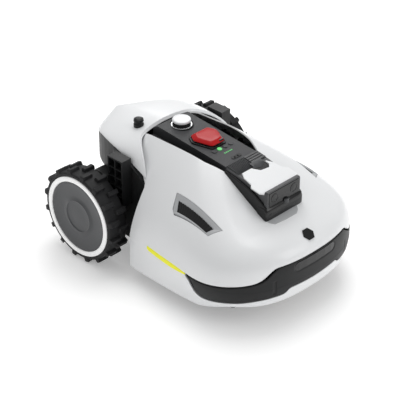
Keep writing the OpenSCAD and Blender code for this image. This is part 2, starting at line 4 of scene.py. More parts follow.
import bmesh
import bpy
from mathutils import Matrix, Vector


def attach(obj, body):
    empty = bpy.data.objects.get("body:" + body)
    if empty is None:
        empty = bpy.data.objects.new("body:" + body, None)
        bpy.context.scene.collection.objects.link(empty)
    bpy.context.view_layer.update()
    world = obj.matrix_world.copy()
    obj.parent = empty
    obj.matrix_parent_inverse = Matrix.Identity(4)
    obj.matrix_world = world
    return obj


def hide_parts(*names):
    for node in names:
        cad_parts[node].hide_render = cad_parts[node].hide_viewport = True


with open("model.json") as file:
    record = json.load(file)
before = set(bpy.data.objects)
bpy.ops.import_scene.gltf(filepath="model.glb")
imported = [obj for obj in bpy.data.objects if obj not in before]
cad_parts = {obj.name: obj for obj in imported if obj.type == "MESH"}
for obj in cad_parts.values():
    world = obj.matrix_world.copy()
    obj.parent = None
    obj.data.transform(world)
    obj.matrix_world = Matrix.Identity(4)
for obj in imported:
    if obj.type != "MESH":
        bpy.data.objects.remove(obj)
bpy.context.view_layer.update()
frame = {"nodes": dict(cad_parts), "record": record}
nodes = frame["nodes"]
MM = 0.001

# ---------------------------------------------------------------- camera

CAMERA_AT = (-1.78419, -1.71987, 1.67622)
CAMERA_AZ = math.radians(-45.5496)
CAMERA_EL = math.radians(32.0898)
back = Vector((math.sin(CAMERA_AZ) * math.cos(CAMERA_EL),
               -math.cos(CAMERA_AZ) * math.cos(CAMERA_EL), math.sin(CAMERA_EL)))
cam_data = bpy.data.cameras.new("view_camera")
cam_data.sensor_width = 36.0
cam_data.lens = 135.73
cam = bpy.data.objects.new("view_camera", cam_data)
cam.location = CAMERA_AT
cam.rotation_euler = back.to_track_quat("Z", "Y").to_euler()
bpy.context.scene.collection.objects.link(cam)
bpy.context.scene.camera = cam


# ---------------------------------------------------------------- materials

def finish(name, color, rough, metal=0.0, tint=0.04, tint_scale=6.0, rough_var=0.06,
           grain=0.1, grain_scale=900.0, wave=0.0, coat=0.0, bevel=0.6, emit=0.0, spec=0.5):
    """Principled material with clouded colour and roughness, fine grain and softened edges."""
    m = bpy.data.materials.new(name)
    m.use_nodes = True
    nt = m.node_tree
    nt.nodes.clear()

    def add(kind, **values):
        n = nt.nodes.new(kind)
        for k, v in values.items():
            n.inputs[k].default_value = v
        return n

    out = add("ShaderNodeOutputMaterial")
    bsdf = add("ShaderNodeBsdfPrincipled", Metallic=metal)
    bsdf.inputs["Coat Weight"].default_value = coat
    bsdf.inputs["Coat Roughness"].default_value = 0.12
    bsdf.inputs["Specular IOR Level"].default_value = spec
    nt.links.new(bsdf.outputs[0], out.inputs[0])
    where = add("ShaderNodeTexCoord")

    def noise(scale, detail):
        n = add("ShaderNodeTexNoise", Scale=scale, Detail=detail, Roughness=0.6)
        nt.links.new(where.outputs["Object"], n.inputs["Vector"])
        return n

    cloud = noise(tint_scale, 5.0)
    mix = nt.nodes.new("ShaderNodeMix")
    mix.data_type = "RGBA"
    mix.inputs["A"].default_value = [c * (1 - tint) for c in color] + [1]
    mix.inputs["B"].default_value = [min(1, c * (1 + tint)) for c in color] + [1]
    nt.links.new(cloud.outputs["Fac"], mix.inputs["Factor"])
    nt.links.new(mix.outputs["Result"], bsdf.inputs["Base Color"])
    # emit makes the surface glow in its own colour: evenly white for the floor, a real light for the green
    # lights, painted light on the white wheel rings and yellow stripes
    if emit:
        nt.links.new(mix.outputs["Result"], bsdf.inputs["Emission Color"])
        bsdf.inputs["Emission Strength"].default_value = emit
    smear = noise(tint_scale * 7, 4.0)
    span = add("ShaderNodeMapRange")
    span.inputs["To Min"].default_value = max(0.02, rough - rough_var)
    span.inputs["To Max"].default_value = min(1, rough + rough_var)
    nt.links.new(smear.outputs["Fac"], span.inputs["Value"])
    nt.links.new(span.outputs[0], bsdf.inputs["Roughness"])
    edge = nt.nodes.new("ShaderNodeBevel")
    edge.samples = 4
    edge.inputs["Radius"].default_value = bevel * MM
    speck = noise(grain_scale, 2.0)
    bump = add("ShaderNodeBump", Strength=grain, Distance=0.0003)
    nt.links.new(speck.outputs["Fac"], bump.inputs["Height"])
    nt.links.new(edge.outputs[0], bump.inputs["Normal"])
    last = bump
    if wave:
        swell = noise(14.0, 2.0)
        soft = add("ShaderNodeBump", Strength=wave, Distance=0.002)
        nt.links.new(swell.outputs["Fac"], soft.inputs["Height"])
        nt.links.new(bump.outputs[0], soft.inputs["Normal"])
        last = soft
    nt.links.new(last.outputs[0], bsdf.inputs["Normal"])
    return m


looks = {
    "white_cover": finish("white_cover", (0.82, 0.83, 0.84), 0.3, tint=0.015, grain=0.05, coat=0.25,
                          wave=0.04, rough_var=0.05, grain_scale=1400, bevel=0.8),
    "black_body": finish("black_body", (0.009, 0.0095, 0.01), 0.45, tint=0.2, grain=0.25, spec=0.3),
    "dark_console": finish("dark_console", (0.04, 0.041, 0.044), 0.5, tint=0.1, grain=0.45, spec=0.3,
                           grain_scale=1300, tint_scale=20),
    "gloss_black": finish("gloss_black", (0.004, 0.004, 0.0045), 0.16, tint=0.15, grain=0.02,
                          coat=0.15, spec=0.35),
    "tyre_rubber": finish("tyre_rubber", (0.012, 0.012, 0.013), 0.6, tint=0.3, grain=0.5, spec=0.3,
                          grain_scale=600, tint_scale=18, bevel=1.2),
    # ring_white glows a little (emit): painted light on the wheels' white trim rings, which are no lamp
    "ring_white": finish("ring_white", (0.93, 0.93, 0.93), 0.32, emit=0.12, tint=0.02, grain=0.06,
                         bevel=0.8),
    "cap_grey": finish("cap_grey", (0.05, 0.052, 0.056), 0.4, tint=0.12, grain=0.3),
    "silver_trim": finish("silver_trim", (0.7, 0.71, 0.72), 0.22, metal=1.0, tint=0.05, grain=0.06),
    "steel": finish("steel", (0.55, 0.56, 0.58), 0.32, metal=1.0, tint=0.1, grain=0.15),
    "blade_steel": finish("blade_steel", (0.62, 0.63, 0.65), 0.25, metal=1.0, tint=0.12, grain=0.2,
                          grain_scale=500),
    "disc_black": finish("disc_black", (0.03, 0.031, 0.033), 0.4, tint=0.2, grain=0.3),
    "motor_metal": finish("motor_metal", (0.3, 0.31, 0.33), 0.38, metal=0.9, tint=0.1, grain=0.2),
    "brass": finish("brass", (0.6, 0.46, 0.2), 0.3, metal=1.0, tint=0.1, grain=0.15),
    "battery_case": finish("battery_case", (0.05, 0.08, 0.11), 0.45, tint=0.1, grain=0.3),
    "circuit_green": finish("circuit_green", (0.02, 0.13, 0.05), 0.4, tint=0.25, tint_scale=120, grain=0.3),
    "green_light": finish("green_light", (0.1, 0.6, 0.15), 0.3, tint=0.15, grain=0.05, emit=0.25),
    "stop_red": finish("stop_red", (0.45, 0.002, 0.004), 0.35, tint=0.08, grain=0.04, coat=0.08, spec=0.25,
                       bevel=1.4, wave=0.05),
    # stripe_yellow glows a little (emit): painted light on the yellow side stripes, which are no lamp
    "stripe_yellow": finish("stripe_yellow", (0.86, 0.84, 0.0), 0.35, emit=0.12, tint=0.05, grain=0.05),
}
looks["vent_grey"] = finish("vent_grey", (0.42, 0.43, 0.44), 0.4, tint=0.04, grain=0.2, bevel=0.8)
looks["pod_grey"] = finish("pod_grey", (0.05, 0.051, 0.054), 0.38, tint=0.1, grain=0.3)

for part in frame["record"]["subparts"]:
    o = nodes[part["node"]]
    o.data.materials.clear()
    o.data.materials.append(looks[part["material_slot"]])


# ---------------------------------------------------------------- mesh helpers

WELD = 1e-6  # vertices closer than this, in metres, become one


def solid_object(name, verts, faces):
    """Object from vertices in mm, with coincident vertices welded and faces turned outwards."""
    mesh = bpy.data.meshes.new(name)
    mesh.from_pydata([Vector(v) * MM for v in verts], [], faces)
    o = bpy.data.objects.new(name, mesh)
    bpy.context.scene.collection.objects.link(o)
    bm = bmesh.new()
    bm.from_mesh(mesh)
    bmesh.ops.remove_doubles(bm, verts=bm.verts, dist=WELD)
    bmesh.ops.recalc_face_normals(bm, faces=bm.faces)
    bm.to_mesh(mesh)
    bm.free()
    return o


def piece(name, verts, faces, body, slot, look=None, replaces=(), angle=35.0):
    """Mesh object from vertices in mm, shaded smooth up to an angle, riding on a body."""
    return dress(solid_object(name, verts, faces), body, slot, look, replaces, angle)


def dress(o, body, slot, look=None, replaces=(), angle=35.0):
    """Material, shading, body, slot and replaced nodes of a new object."""
    o.data.materials.clear()
    o.data.materials.append(looks[look or slot])
    o.data.polygons.foreach_set("use_smooth", [True] * len(o.data.polygons))
    o.data.set_sharp_from_angle(angle=math.radians(angle))
    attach(o, body)
    if replaces:
        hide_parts(*replaces)
    return o


def cut(o, cutters):
    """Exact boolean difference of o with each (verts, faces) solid in mm."""
    tools = []
    for verts, faces in cutters:
        t = solid_object("cutter", verts, faces)
        mod = o.modifiers.new("cut", "BOOLEAN")
        mod.operation = "DIFFERENCE"
        mod.solver = "EXACT"
        mod.object = t
        tools.append(t)
    bpy.context.view_layer.update()
    deps = bpy.context.evaluated_depsgraph_get()
    result = bpy.data.meshes.new_from_object(o.evaluated_get(deps))
    o.modifiers.clear()
    o.data = result
    for t in tools:
        bpy.data.objects.remove(t)
    return o


def grid_faces(rows, cols, wrap=False):
    """Quads of a rows x cols grid of vertices; wrap joins the last column to the first."""
    last = cols if wrap else cols - 1
    return [(j * cols + i, j * cols + (i + 1) % cols, (j + 1) * cols + (i + 1) % cols, (j + 1) * cols + i)
            for j in range(rows - 1) for i in range(last)]


def prism(plan, z0, z1):
    """Closed prism of a plan polygon; z0 and z1 are heights or functions of (x, y)."""
    n = len(plan)
    low = [(x, y, z0(x, y) if callable(z0) else z0) for x, y in plan]
    top = [(x, y, z1(x, y) if callable(z1) else z1) for x, y in plan]
    faces = [tuple(range(n - 1, -1, -1)), tuple(range(n, 2 * n))]
    faces += [(i, (i + 1) % n, n + (i + 1) % n, n + i) for i in range(n)]
    return low + top, faces


def mirrored(solid):
    verts, faces = solid
    return [(-x, y, z) for x, y, z in verts], faces


def smooth(a, b, v):
    """0 below a, 1 above b, eased between."""
    t = min(1.0, max(0.0, (v - a) / (b - a)))
    return t * t * (3 - 2 * t)


def curve_at(points, v):
    """Smooth curve through (v, value) points."""
    if v <= points[0][0]:
        return points[0][1]
    if v >= points[-1][0]:
        return points[-1][1]
    for i in range(len(points) - 1):
        a, b = points[i], points[i + 1]
        if v <= b[0]:
            p = points[max(0, i - 1)]
            q = points[min(len(points) - 1, i + 2)]
            h = b[0] - a[0]
            t = (v - a[0]) / h
            ma = (b[1] - p[1]) / (b[0] - p[0]) * h
            mb = (q[1] - a[1]) / (q[0] - a[0]) * h
            return ((2 * t ** 3 - 3 * t * t + 1) * a[1] + (t ** 3 - 2 * t * t + t) * ma
                    + (3 * t * t - 2 * t ** 3) * b[1] + (t ** 3 - t * t) * mb)


# ---------------------------------------------------------------- cover surface (same as the CAD)

HALF_W, NOSE, MID_Y, ROUND, WAIST = 186.0, 148.5, -120.0, 2.45, 88.0
CREST, FOOT_Y, FOOT_Z, SPAN, SLOPE = 291.0, -198.0, 175.0, 240.0, 0.32
NOSE_Y = MID_Y - NOSE


def half_w(y, s=0.0):
    if y > MID_Y:
        return HALF_W - s - 16 * ((y - MID_Y) / 172) ** 1.5
    return (HALF_W - s) * max(0.0, 1 - ((MID_Y - y) / (NOSE - s)) ** ROUND) ** (1 / ROUND)


def crest(y):
    if y < FOOT_Y:
        return FOOT_Z + SLOPE * (y - FOOT_Y)
    t = min(1.0, (y - FOOT_Y) / SPAN)
    rise = (t ** 3 - 2 * t * t + t) * 0.4 * SPAN + (3 - 2 * t) * t * t * (CREST - FOOT_Z)
    return FOOT_Z + rise - 0.0137 * max(0.0, y - 90) ** 2


def cover_z(x, y, s=0.0):
    w = half_w(y, s)
    n = 1.46 + 2.14 * min(1.0, max(0.0, (52 - y) / 250)) ** 1.9
    r = min(1.0, abs(x) / w) if w > 0 else 1.0
    u = max(0.0, (-215 - y) / (-215 - NOSE_Y - s))
    roll = max(0.0, 1 - u ** 4) ** 0.25
    return WAIST + (crest(y) - s - WAIST) * roll * max(0.0, 1 - r ** n) ** (1 / n)


def lower_z(y):
    return 27 + 25 * (0 if y > -115 else 0.5 - 0.5 * math.cos(math.pi * min(1.0, (-115 - y) / 110)))


def tuck(y):
    if y > 40:
        return 0.0
    return 15 * min(1.0, (40 - y) / 160) - 9 * min(1.0, max(0.0, (-150 - y) / 100))


def plan_point(t, s=0.0):
    """Plan outline: t is degrees from the nose; beyond 90 it runs back along the side at 1.5 mm each."""
    side = 1 if t >= 0 else -1
    a = abs(t)
    if a <= 90:
        e = 2 / ROUND
        c = math.radians(90 - a)
        return (side * (HALF_W - s) * abs(math.cos(c)) ** e, MID_Y - (NOSE - s) * math.sin(c) ** e)
    y = MID_Y + (a - 90) * 1.5
    return side * half_w(y, s), y


def skin(t, z, off=0.0):
    """Point on the cover's skin at outline parameter t and height z, moved outwards by off."""
    px, py = plan_point(t)
    if z <= WAIST:
        low = lower_z(py)
        k = (z - low) / (WAIST - low)
        inset = tuck(py) * max(0.0, 1 - k) ** 1.5 - off
        f = 1 - inset / math.hypot(px, min(0.0, py - MID_Y))
        return (px * f, MID_Y + (py - MID_Y) * f if py < MID_Y else py, z)
    sp = py if py > MID_Y else MID_Y + (py - MID_Y) * 0.6
    lo, hi = 0.0, 1.0
    for _ in range(24):
        c = (lo + hi) / 2
        if cover_z(c * px, sp + c * (py - sp)) > z:
            lo = c
        else:
            hi = c
    x, y = lo * px, sp + lo * (py - sp)
    n = math.hypot(px, py - sp) or 1.0
    return (x + off * px / n, y + off * (py - sp) / n, z)


def cover_shell(s, rear_y, drop=0.0):
    """Closed body of the cover, made smaller by s, as a fine grid of rings."""
    edge_t = 90 + (rear_y - MID_Y) / 1.5
    ts = [-edge_t + (edge_t - 90) * i / 50 for i in range(50)]
    ts += [-90 + 180 * i / 110 for i in range(111)]
    ts += [90 + (edge_t - 90) * (i + 1) / 50 for i in range(50)]
    plan = [plan_point(t, s) for t in ts]
    rings = []
    for k in ([-1.0] if drop else []) + [i / 8 for i in range(9)]:
        ring = []
        for x, y in plan:
            low = lower_z(y)
            inset = tuck(y) * (1 - max(0.0, k)) ** 1.5
            f = 1 - inset / math.hypot(x, min(0.0, y - MID_Y))
            z = low - drop if k < 0 else low + (WAIST - low) * k
            ring.append((x * f, MID_Y + (y - MID_Y) * f if y < MID_Y else y, z))
        rings.append(ring)
    steps = 56
    for i in range(1, steps + 1):
        c = math.cos(math.pi / 2 * i / steps) ** 0.8 if i < steps else 0.0
        ring = []
        for x, y in plan:
            sp = y if y > MID_Y else MID_Y + (y - MID_Y) * 0.6
            rx, ry = x * c, sp + (y - sp) * c
            ring.append((rx, ry, cover_z(rx, ry, s)))
        rings.append(ring)
    n = len(plan)
    verts = [p for r in rings for p in r]
    faces = grid_faces(len(rings), n)
    faces.append(tuple(range(n - 1, -1, -1)))
    m = len(rings)
    faces.append(tuple([j * n for j in range(m)] + [j * n + n - 1 for j in range(m - 2, -1, -1)]))
    return verts, faces


# ---------------------------------------------------------------- front cover

BAND_T = 91.0
# Lower and upper edge of the bumper band, height over outline parameter
BAND_TOP = [(0, 129), (22, 129.5), (25.5, 128), (29, 121.5), (33, 112.5), (38, 106.5), (46.5, 102.6),
            (57, 99.5), (66, 97), (77, 94.7), (86, 95), (91, 97)]
BAND_LOW = [(0, 76), (13, 77.5), (16, 76.5), (18.5, 70), (21, 68), (28, 67.5), (41, 65.7), (50, 63),
            (59, 60.5), (70, 57.5), (78, 56), (82, 58.5), (85.5, 68), (87.7, 85), (91, 95)]


def band_solid(t_end, grow, out, into, back=0.0, steps=120):
    """Solid strip between the band's edges, grown by grow, from out to -into off the skin."""
    ts = [-t_end + 2 * t_end * i / steps for i in range(steps + 1)]
    verts, rows = [], []
    for t in ts:
        a = abs(t) * BAND_T / t_end
        z0 = curve_at(BAND_LOW, a) - grow
        z1 = curve_at(BAND_TOP, a) + grow
        zs = [z0 + (z1 - z0) * k / 12 for k in range(13)]
        ring = [skin(t, z, out) for z in zs]
        ring += [skin(t, z, -into) for z in reversed(zs)]
        verts += [(x, y + back, z) for x, y, z in ring]
    n = 26
    faces = []
    for i in range(steps):
        for k in range(n):
            faces.append((i * n + k, i * n + (k + 1) % n, (i + 1) * n + (k + 1) % n, (i + 1) * n + k))
    faces.append(tuple(range(n)))
    faces.append(tuple(range(len(verts) - 1, len(verts) - n - 1, -1)))
    return verts, faces


VENT = [(123, -31), (129, -154), (152, -139), (150, -50), (144, -40)]
REAR_TRIM = [(66, 125), (66, 122), (80, 118), (118, 64), (122, 56), (128, 52), (250, 52), (250, 125)]
CONSOLE = [(-54, 130), (-54, -40), (-42.4, -108), (42.4, -108), (54, -40), (54, 130)]


def opening_solid():
    low = [(x, y, 150) for x, y in CONSOLE] + [(x, y, 240) for x, y in CONSOLE]
    low += [(x * 1.2, y if y > 0 else y * 1.08, 256) for x, y in CONSOLE]
    low += [(x * 1.9, y if y > 0 else y * 1.2, 300) for x, y in CONSOLE]
    n = len(CONSOLE)
    faces = [tuple(range(n - 1, -1, -1)), tuple(range(3 * n, 4 * n))]
    for k in range(3):
        faces += [(k * n + i, k * n + (i + 1) % n, (k + 1) * n + (i + 1) % n, (k + 1) * n + i)
                  for i in range(n)]
    return low, faces


COVER_T = 3.0       # wall of the cover
COVER_REAR = 118.0  # rear end of the cover's skin
SLOT = (BAND_T + 1.0, 1.2, 6.0, 9.0)  # end, clearance, reach out and reach in of the bumper's slot
BAND_TRAVEL = 4.4   # the slot also clears the band when it is pressed in

cover = solid_object("cover_shell", *cover_shell(0.0, COVER_REAR))
vent_hole = prism(VENT, 120, 290)
trim = prism(REAR_TRIM, 15, 320)
cut(cover, [cover_shell(COVER_T, COVER_REAR + 1, 12.0), trim, mirrored(trim), opening_solid(),
            vent_hole, mirrored(vent_hole), band_solid(*SLOT), band_solid(*SLOT, BAND_TRAVEL)])
dress(cover, "chassis", "white_cover", replaces=("front_cover",), angle=32)

# ---------------------------------------------------------------- bumper band

band_verts, band_faces = [], []
COLS, ROWS = 300, 44
GROOVE_X = 97
RECESS_HALF, RECESS_Z = 46, 117
for i in range(COLS + 1):
    t = -BAND_T + 2 * BAND_T * i / COLS
    a = abs(t)
    z0, z1 = curve_at(BAND_LOW, a), curve_at(BAND_TOP, a)
    for k in range(ROWS + 1):
        f = k / ROWS
        z = z0 + (z1 - z0) * f
        edge = min(f, 1 - f) * (z1 - z0)
        off = 1.2 - 2.2 * (1 - min(1.0, edge / 2.2)) ** 2
        x = skin(t, z)[0]
        # Oval recess in the middle and the upright grooves at its shoulders
        d = math.hypot(max(0.0, abs(x) - RECESS_HALF), z - RECESS_Z)
        off -= 1.6 * (1 - smooth(8.5, 10.5, d))
        wide = 0.9 if x > 0 else 2.6
        across = 1 - smooth(wide, wide + 0.8, abs(abs(x) - GROOVE_X))
        off -= 1.4 * across * smooth(74, 77, z) * (1 - smooth(103, 105, z))
        band_verts.append(skin(t, z, off))
n = ROWS + 1
band_faces = grid_faces(COLS + 1, n)
outer_count = len(band_verts)
for i in range(COLS + 1):
    t = -BAND_T + 2 * BAND_T * i / COLS
    z0, z1 = curve_at(BAND_LOW, abs(t)), curve_at(BAND_TOP, abs(t))
    band_verts += [skin(t, z0, -2.6), skin(t, z1, -2.6)]
for i in range(COLS):
    a0, a1 = outer_count + 2 * i, outer_count + 2 * i + 2
    band_faces += [(i * n, a0, a1, (i + 1) * n),
                   (i * n + ROWS, (i + 1) * n + ROWS, a1 + 1, a0 + 1), (a0, a0 + 1, a1 + 1, a1)]
band_faces.append(tuple([outer_count + 1] + [ROWS - k for k in range(ROWS + 1)] + [outer_count]))
e = COLS * n
last = outer_count + 2 * COLS
band_faces.append(tuple([last] + [e + k for k in range(n)] + [last + 1]))
piece("bumper_strip", band_verts, band_faces, "bumper", "black_body", replaces=("bumper_band",), angle=50)

# ---------------------------------------------------------------- rear saddle (same as the CAD)

SADDLE_HW, SADDLE_REAR, SADDLE_FOOT = 119.0, 264.0, 45.3
LIP_DROP = 6.0


def saddle_w(y, s=0.0):
    u = min(1.0, max(0.0, (y - SADDLE_FOOT) / (SADDLE_REAR - s - SADDLE_FOOT)))
    return (SADDLE_HW - s) * (1 - u ** 2.67) ** (1 / 2.67)


def saddle_low(y):
    return 230 - 0.002 * (183 - y) ** 2 if y < 183 else 230 - 0.00066 * (y - 183) ** 2.5


def saddle_z(y, r, s=0.0):
    top = 260.5 - 0.19 * (y - 119) - 0.0035 * max(0.0, y - 237) ** 2 - s
    return saddle_low(y) + (top - saddle_low(y)) * max(0.0, 1 - min(1.0, r) ** 1.84) ** (1 / 1.84)


def saddle_skin(s, front):
    """Rows of points over the saddle, from its turned-down front lip to the rear."""
    points = []
    for j in range(SADDLE_ROWS):
        ahead = 3.5 * (1 - (1 - min(j, 6) / 6) ** 2)
        v = 0.0 if j <= 6 else 1 - (1 - (j - 6) / (SADDLE_ROWS - 7)) ** 1.7
        for i in range(SADDLE_COLS):
            a = math.radians(-90 + 180 * i / (SADDLE_COLS - 1))
            x0 = abs(SADDLE_HW * math.sin(a))
            soft = math.hypot(x0 - 78, 14) + x0 - 78
            y0 = 121 - 0.775 * soft + front
            y = y0 + ahead + (SADDLE_REAR - s - y0 - ahead) * v
            lip = LIP_DROP * math.cos(a) * (1 - math.sin(math.pi / 2 * min(j, 6) / 6))
            points.append((saddle_w(y, s) * math.sin(a), y, saddle_z(y, abs(math.sin(a)), s) - lip))
    return points


SADDLE_COLS, SADDLE_ROWS = 121, 80
half = SADDLE_COLS * SADDLE_ROWS
faces = grid_faces(SADDLE_ROWS, SADDLE_COLS)
faces += [tuple(half + i for i in reversed(f)) for f in faces]
rim = [j * SADDLE_COLS for j in range(SADDLE_ROWS - 1, 0, -1)] + list(range(SADDLE_COLS))
rim += [j * SADDLE_COLS + SADDLE_COLS - 1 for j in range(1, SADDLE_ROWS)]
faces += [(a, b, b + half, a + half) for a, b in zip(rim, rim[1:])]
piece("saddle_shell", saddle_skin(0.0, 0.0) + saddle_skin(3.0, 3.0), faces, "chassis", "white_cover",
      replaces=("rear_saddle",), angle=40)

# ---------------------------------------------------------------- side stripes and vents

STRIPE_TOP = [(94, 97.5), (105, 99.5), (122, 101), (168, 101.5)]
STRIPE_LOW = [(94, 94), (105, 91.8), (122, 90), (164, 92.5), (168, 95)]
for side, name in ((1, "left"), (-1, "right")):
    verts = []
    cols = 60
    for i in range(cols + 1):
        t = 94.5 + (168 - 94.5) * i / cols
        z0, z1 = curve_at(STRIPE_LOW, t), curve_at(STRIPE_TOP, t)
        for k, off in ((0, -0.6), (0.08, 0.5), (0.35, 0.7), (0.65, 0.7), (0.92, 0.5), (1, -0.6)):
            verts.append(skin(side * t, z0 + (z1 - z0) * k, off))
    faces = grid_faces(cols + 1, 6, wrap=True)
    faces += [tuple(range(6)), tuple(range(6 * cols, 6 * cols + 6))]
    stripe = piece(name + "_stripe", verts, faces, "chassis", "stripe_yellow", angle=40)
    if side == 1:
        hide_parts("side_stripes")

INSERT = [(130, -43), (136, -136), (147, -129), (143, -52)]


def along(plan, count):
    """count points spread evenly along a closed plan polygon, starting at its first corner."""
    sides = [math.dist(plan[i], plan[(i + 1) % len(plan)]) for i in range(len(plan))]
    total = sum(sides)
    out = []
    for j in range(count):
        d = total * j / count
        i = 0
        while d > sides[i]:
            d -= sides[i]
            i += 1
        a, b = plan[i], plan[(i + 1) % len(plan)]
        out.append((a[0] + (b[0] - a[0]) * d / sides[i], a[1] + (b[1] - a[1]) * d / sides[i]))
    return out


OUTER4 = [(123.4, -31.6), (129.3, -153.2), (151.6, -138.6), (147.5, -42.5)]
for side, name in ((1, "left"), (-1, "right")):
    loops = []
    steps = 40
    for f, depth in ((0.01, 1.2), (0.04, 0.3), (0.14, 0.3), (0.82, 4.2), (0.9, 4.4), (0.9, 7.5),
                     (0.01, 7.5)):
        loop = []
        for k in range(4):
            a, b = OUTER4[k], OUTER4[(k + 1) % 4]
            c, d = INSERT[k], INSERT[(k + 1) % 4]
            for j in range(steps // 4):
                u = j / (steps // 4)
                ox, oy = a[0] + (b[0] - a[0]) * u, a[1] + (b[1] - a[1]) * u
                ix, iy = c[0] + (d[0] - c[0]) * u, c[1] + (d[1] - c[1]) * u
                x, y = ox + (ix - ox) * f, oy + (iy - oy) * f
                loop.append((side * x, y, cover_z(x, y) - depth))
        loops.append(loop)
    verts = [p for l in loops for p in l]
    faces = grid_faces(len(loops), steps, wrap=True)
    faces += [((len(loops) - 1) * steps + j, (len(loops) - 1) * steps + (j + 1) % steps,
               (j + 1) % steps, j) for j in range(steps)]
    piece(name + "_vent_frame", verts, faces, "chassis", "white_cover", look="vent_grey",
          angle=30)
    # Ribbed black grille set into the frame
    verts = []
    rows, cols = 61, 9
    for low in (0, 1):
        for i in range(rows):
            v = i / (rows - 1)
            a = [INSERT[0][k] + (INSERT[1][k] - INSERT[0][k]) * v for k in (0, 1)]
            b = [INSERT[3][k] + (INSERT[2][k] - INSERT[3][k]) * v for k in (0, 1)]
            for j in range(cols):
                u = -0.12 + 1.24 * j / (cols - 1)
                x, y = a[0] + (b[0] - a[0]) * u, a[1] + (b[1] - a[1]) * u
                depth = 8.5 if low else 5.6 + (0.9 if (i // 2) % 2 else 0.0)
                verts.append((side * x, y, cover_z(x, y) - depth))
    half = rows * cols
    faces = grid_faces(rows, cols)
    faces += [tuple(half + q for q in reversed(f)) for f in faces]
    rim = list(range(cols)) + [r * cols + cols - 1 for r in range(1, rows)]
    rim += [(rows - 1) * cols + q for q in range(cols - 2, -1, -1)]
    rim += [r * cols for r in range(rows - 2, 0, -1)]
    faces += [(a, rim[(q + 1) % len(rim)], rim[(q + 1) % len(rim)] + half, a + half)
              for q, a in enumerate(rim)]
    grille = piece(name + "_vent_grille", verts, faces, "chassis", "black_body", look="gloss_black")
    if side == 1:
        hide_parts("vent_inserts")

# ---------------------------------------------------------------- vision module


def loft(name, loops, body, slot, look=None, replaces=(), angle=35.0, ring=False):
    """Closed piece through equal closed loops of points: capped at both ends, or joined as a ring."""
    n = len(loops[0])
    verts = [p for loop in (loops + loops[:1] if ring else loops) for p in loop]
    faces = grid_faces(len(verts) // n, n, wrap=True)
    if not ring:
        faces += [tuple(range(n)), tuple(range((len(loops) - 1) * n, len(loops) * n))]
    return piece(name, verts, faces, body, slot, look, replaces, angle)


def slab(name, plan, low, high, body, slot, look=None, replaces=(), edge=0.8):
    """Prism of a convex plan with a chamfered top edge; low and high are heights or functions of y."""
    cx = sum(x for x, _ in plan) / len(plan)
    cy = sum(y for _, y in plan) / len(plan)

    def z_of(level, y):
        return level(y) if callable(level) else level

    def ring(inset, level, drop):
        out = []
        for x, y in plan:
            d = math.hypot(x - cx, y - cy) or 1.0
            f = 1 - inset / d
            px, py = cx + (x - cx) * f, cy + (y - cy) * f
            out.append((px, py, z_of(level, py) - drop))
        return out

    return loft(name, [ring(0, low, 0), ring(0, high, edge), ring(edge, high, 0)],
                body, slot, look, replaces)


def pod_top(y):
    return 245 + (y + 85) * 0.15


def pod_ledge(y):
    return curve_at([(-183, 206), (-153, 224), (-116, 236), (-80, 243)], y)


POD_HW = 44.0
stations = [-182 + 102 * i / 24 for i in range(25)]
loft("pod_body", [[(-POD_HW, y, pod_ledge(y) - 6), (-POD_HW, y, pod_top(y) - 1.5),
                   (-POD_HW + 2, y, pod_top(y)), (POD_HW - 2, y, pod_top(y)),
                   (POD_HW, y, pod_top(y) - 1.5), (POD_HW, y, pod_ledge(y) - 6)] for y in stations],
     "chassis", "black_body", look="pod_grey", replaces=("camera_housing",), angle=25)
loft("pod_skirt", [[(-51, y, crest(y) - 16), (-48, y, pod_ledge(y) - 2), (-46.5, y, pod_ledge(y)),
                    (46.5, y, pod_ledge(y)), (48, y, pod_ledge(y) - 2), (51, y, crest(y) - 16)]
                   for y in stations],
     "chassis", "black_body", look="gloss_black", angle=25)

PLATE = [(-33, -110), (-40.5, -122.5), (-44, -143), (-51.5, -149.5), (-51.5, -171), (-45, -178),
         (45, -178), (51.5, -171), (51.5, -149.5), (44, -143), (40.5, -122.5), (33, -110)]
NOTCH = [(-9, -100), (-6, -114), (2, -125), (22, -128), (30, -120), (30, -100)]
plate = slab("pod_plate", PLATE, pod_top, lambda y: pod_top(y) + 2.4, "chassis", "ring_white",
             look="white_cover", replaces=("camera_top",))
notch_verts, notch_faces = prism(NOTCH, 200, 280)
cut(plate, [(notch_verts, notch_faces)])
dress(plate, "chassis", "ring_white", "white_cover", ("camera_top",), 30)
slab("pod_latch_well", [(-9, -99), (-6, -114), (2, -125), (22, -128), (30, -120), (30, -99)],
     lambda y: pod_top(y) - 3, lambda y: pod_top(y) + 0.5, "chassis", "black_body", look="gloss_black")
loft("pod_latch", [[(x, -101, 240), (x, -101, pod_top(-101) + 4.5), (x, -109, pod_top(-109) + 4.2),
                    (x, -117 + abs(x - 12) * 0.4, pod_top(-117) + 1.2), (x, -117 + abs(x - 12) * 0.4, 236)]
                   for x in (-3, -1, 5, 12, 19, 24, 26)],
     "chassis", "black_body", look="cap_grey", angle=30)

# Cooling ribs in front of the console, and the smooth block beside them
for i in range(13):
    x = -39 + 3.3 * i
    loft("pod_rib_%d" % i, [[(x + dx, y, pod_top(y) - 2), (x + dx * 0.6, y, pod_top(y) + 3.2 * lift),
                            (x + dx * 0.6 + 1.2, y, pod_top(y) + 3.2 * lift),
                            (x + dx + 1.7, y, pod_top(y) - 2)]
                           for y, lift, dx in ((-77, 0.6, 0), (-79, 1, 0), (-92, 1, 0), (-104, 1, -0.6),
                                               (-109, 0.2, -1))],
         "chassis", "black_body", look="cap_grey", replaces=("heat_sink",) if i == 0 else (), angle=30)
for i in range(4):
    slab("pod_block_%d" % i, [(5, -78 - 6 * i), (42, -78 - 6 * i), (42, -82.4 - 6 * i), (5, -82.4 - 6 * i)],
         lambda y: pod_top(y) - 2, lambda y: pod_top(y) + 3, "chassis", "black_body", look="pod_grey",
         edge=0.6)

